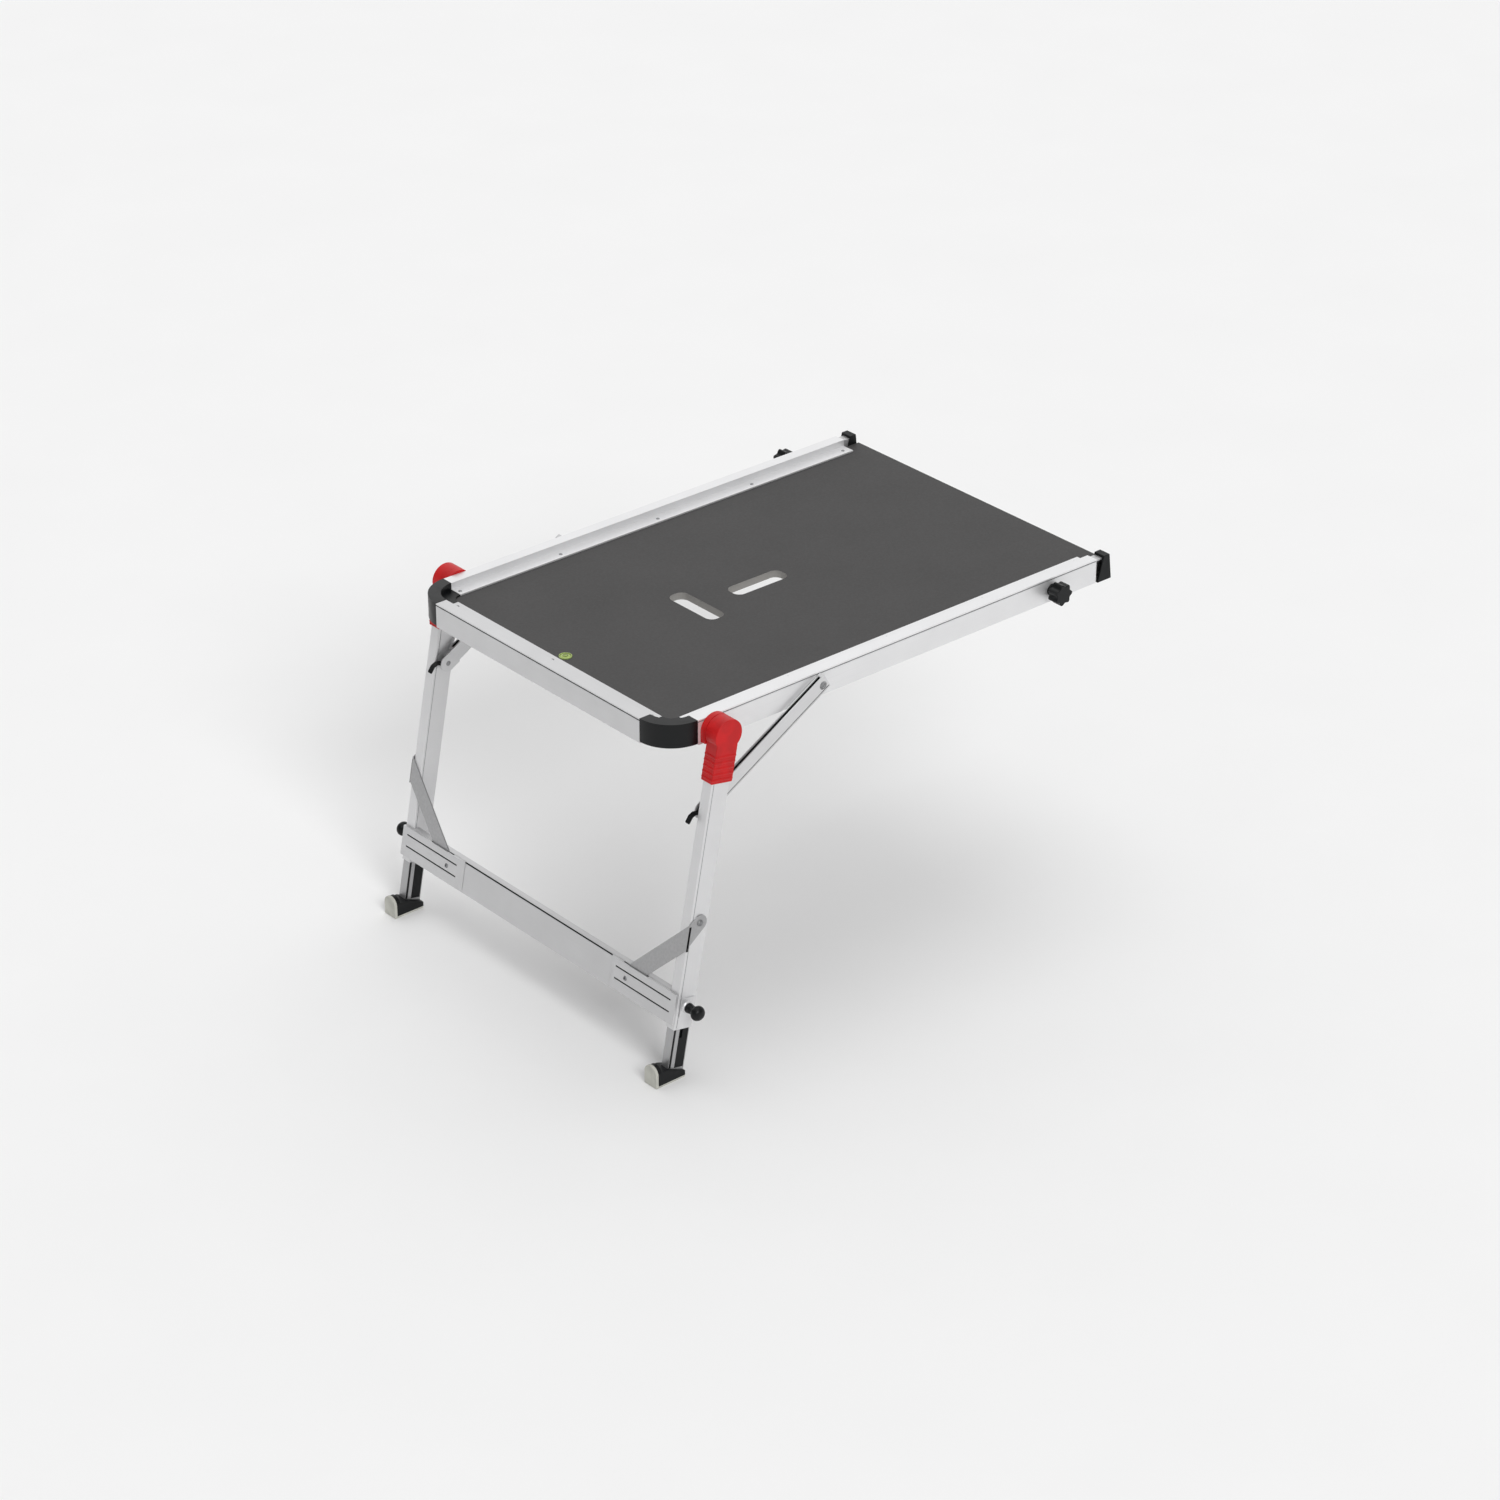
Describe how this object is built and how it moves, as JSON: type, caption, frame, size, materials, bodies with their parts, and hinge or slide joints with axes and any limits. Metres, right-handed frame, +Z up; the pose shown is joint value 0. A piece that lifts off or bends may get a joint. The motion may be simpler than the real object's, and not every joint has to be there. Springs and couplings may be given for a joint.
{
  "type": "stair work platform",
  "caption": "Stair work platform: deck in an aluminium frame, folding front legs with telescoping feet, latched side struts, rear rail extensions clamped by star knobs.",
  "frame": {"origin": "on the level of the front feet, under the middle of the object's length and width", "axes": "+X towards the rear end that rests on the higher step, +Y to the left side, +Z up"},
  "size_m": [0.956, 0.744, 0.5736],
  "materials": {
    "deck_board": "film-faced board, fine matt",
    "anodised_aluminium": "satin anodised",
    "mill_aluminium": "mill",
    "zinc_plated_steel": "zinc plated",
    "steel": "zinc plated",
    "black_plastic": "fine matt",
    "red_plastic": "satin",
    "pad_rubber": "matt",
    "level_green": "clear gloss"
  },
  "bodies": {
    "platform": {"deck_panel": "deck_board", "front_rail": "anodised_aluminium", "side_rail_left": "anodised_aluminium", "side_rail_right": "anodised_aluminium", "corner_cap_left": "black_plastic", "corner_cap_right": "black_plastic", "crossmember_front": "mill_aluminium", "crossmember_rear": "mill_aluminium", "level_housing": "level_green", "level_vial": "level_green", "hinge_bracket_left": "red_plastic", "hinge_bracket_right": "red_plastic", "pivot_bolt_left": "steel", "pivot_bolt_right": "steel", "knob_bush_left": "black_plastic", "knob_bush_right": "black_plastic"},
    "leg_frame": {"leg_tube_left": "anodised_aluminium", "leg_tube_right": "anodised_aluminium", "leg_cap_left": "red_plastic", "leg_cap_right": "red_plastic", "crossbar": "anodised_aluminium", "crossbar_bracket_left": "anodised_aluminium", "crossbar_bracket_right": "anodised_aluminium", "brace_left": "zinc_plated_steel", "brace_right": "zinc_plated_steel", "brace_rivet_left": "steel", "brace_rivet_right": "steel", "strut_pin_left": "steel", "strut_pin_right": "steel", "plunger_mount_left": "anodised_aluminium", "plunger_mount_right": "anodised_aluminium"},
    "inner_leg_left": {"inner_leg_left": "mill_aluminium", "rack_left": "black_plastic", "foot_left": "black_plastic", "foot_pad_left": "pad_rubber"},
    "plunger_left": {"plunger_pin_left": "steel", "plunger_knob_left": "black_plastic"},
    "strut_left": {"strut_left": "anodised_aluminium", "strut_bolt_left": "steel"},
    "latch_left": {"latch_left": "black_plastic"},
    "rear_extension_left": {"rear_extension_left": "mill_aluminium", "rear_foot_left": "black_plastic"},
    "star_knob_left": {"star_knob_left": "black_plastic"},
    "inner_leg_right": {"inner_leg_right": "mill_aluminium", "rack_right": "black_plastic", "foot_right": "black_plastic", "foot_pad_right": "pad_rubber"},
    "plunger_right": {"plunger_pin_right": "steel", "plunger_knob_right": "black_plastic"},
    "strut_right": {"strut_right": "anodised_aluminium", "strut_bolt_right": "steel"},
    "latch_right": {"latch_right": "black_plastic"},
    "rear_extension_right": {"rear_extension_right": "mill_aluminium", "rear_foot_right": "black_plastic"},
    "star_knob_right": {"star_knob_right": "black_plastic"}
  },
  "joints": [
    {"name": "leg_fold", "type": "hinge", "parent": "platform", "child": "leg_frame", "pos_m": [-0.334, 0, 0.5486], "axis": [0, -1, 0], "range_deg": [0, 98]},
    {"name": "inner_leg_slide_left", "type": "slide", "parent": "leg_frame", "child": "inner_leg_left", "axis": [-0.1908, 0, -0.9816], "range_m": [-0.05, 0.085]},
    {"name": "plunger_pull_left", "type": "slide", "parent": "leg_frame", "child": "plunger_left", "axis": [0, 1, 0], "range_m": [0, 0.008], "stiffness_N_per_m": 500, "springref_m": -0.006},
    {"name": "strut_pivot_left", "type": "hinge", "parent": "leg_frame", "child": "strut_left", "pos_m": [-0.35894, 0.31, 0.4203], "axis": [0, -1, 0], "range_deg": [-126, 0]},
    {"name": "latch_press_left", "type": "hinge", "parent": "strut_left", "child": "latch_left", "pos_m": [-0.35894, 0.311, 0.4203], "axis": [0, 1, 0], "range_deg": [0, 20], "stiffness_Nm_per_rad": 0.06, "springref_deg": -28.65},
    {"name": "rear_extension_slide_left", "type": "slide", "parent": "platform", "child": "rear_extension_left", "axis": [1, 0, 0], "range_m": [0, 0.15]},
    {"name": "star_knob_turn_left", "type": "hinge", "parent": "platform", "child": "star_knob_left", "pos_m": [0.3495, 0.32, 0.5486], "axis": [0, 1, 0], "continuous": true},
    {"name": "inner_leg_slide_right", "type": "slide", "parent": "leg_frame", "child": "inner_leg_right", "axis": [-0.1908, 0, -0.9816], "range_m": [-0.05, 0.085]},
    {"name": "plunger_pull_right", "type": "slide", "parent": "leg_frame", "child": "plunger_right", "axis": [0, -1, 0], "range_m": [0, 0.008], "stiffness_N_per_m": 500, "springref_m": -0.006},
    {"name": "strut_pivot_right", "type": "hinge", "parent": "leg_frame", "child": "strut_right", "pos_m": [-0.35894, -0.31, 0.4203], "axis": [0, -1, 0], "range_deg": [-126, 0]},
    {"name": "latch_press_right", "type": "hinge", "parent": "strut_right", "child": "latch_right", "pos_m": [-0.35894, -0.311, 0.4203], "axis": [0, 1, 0], "range_deg": [0, 20], "stiffness_Nm_per_rad": 0.06, "springref_deg": -28.65},
    {"name": "rear_extension_slide_right", "type": "slide", "parent": "platform", "child": "rear_extension_right", "axis": [1, 0, 0], "range_m": [0, 0.15]},
    {"name": "star_knob_turn_right", "type": "hinge", "parent": "platform", "child": "star_knob_right", "pos_m": [0.3495, -0.32, 0.5486], "axis": [0, -1, 0], "continuous": true}
  ],
  "couplings": [
    {"joint": "strut_pivot_left", "follows": "leg_fold", "ratio": -1.2833},
    {"joint": "strut_pivot_right", "follows": "leg_fold", "ratio": -1.2833}
  ]
}
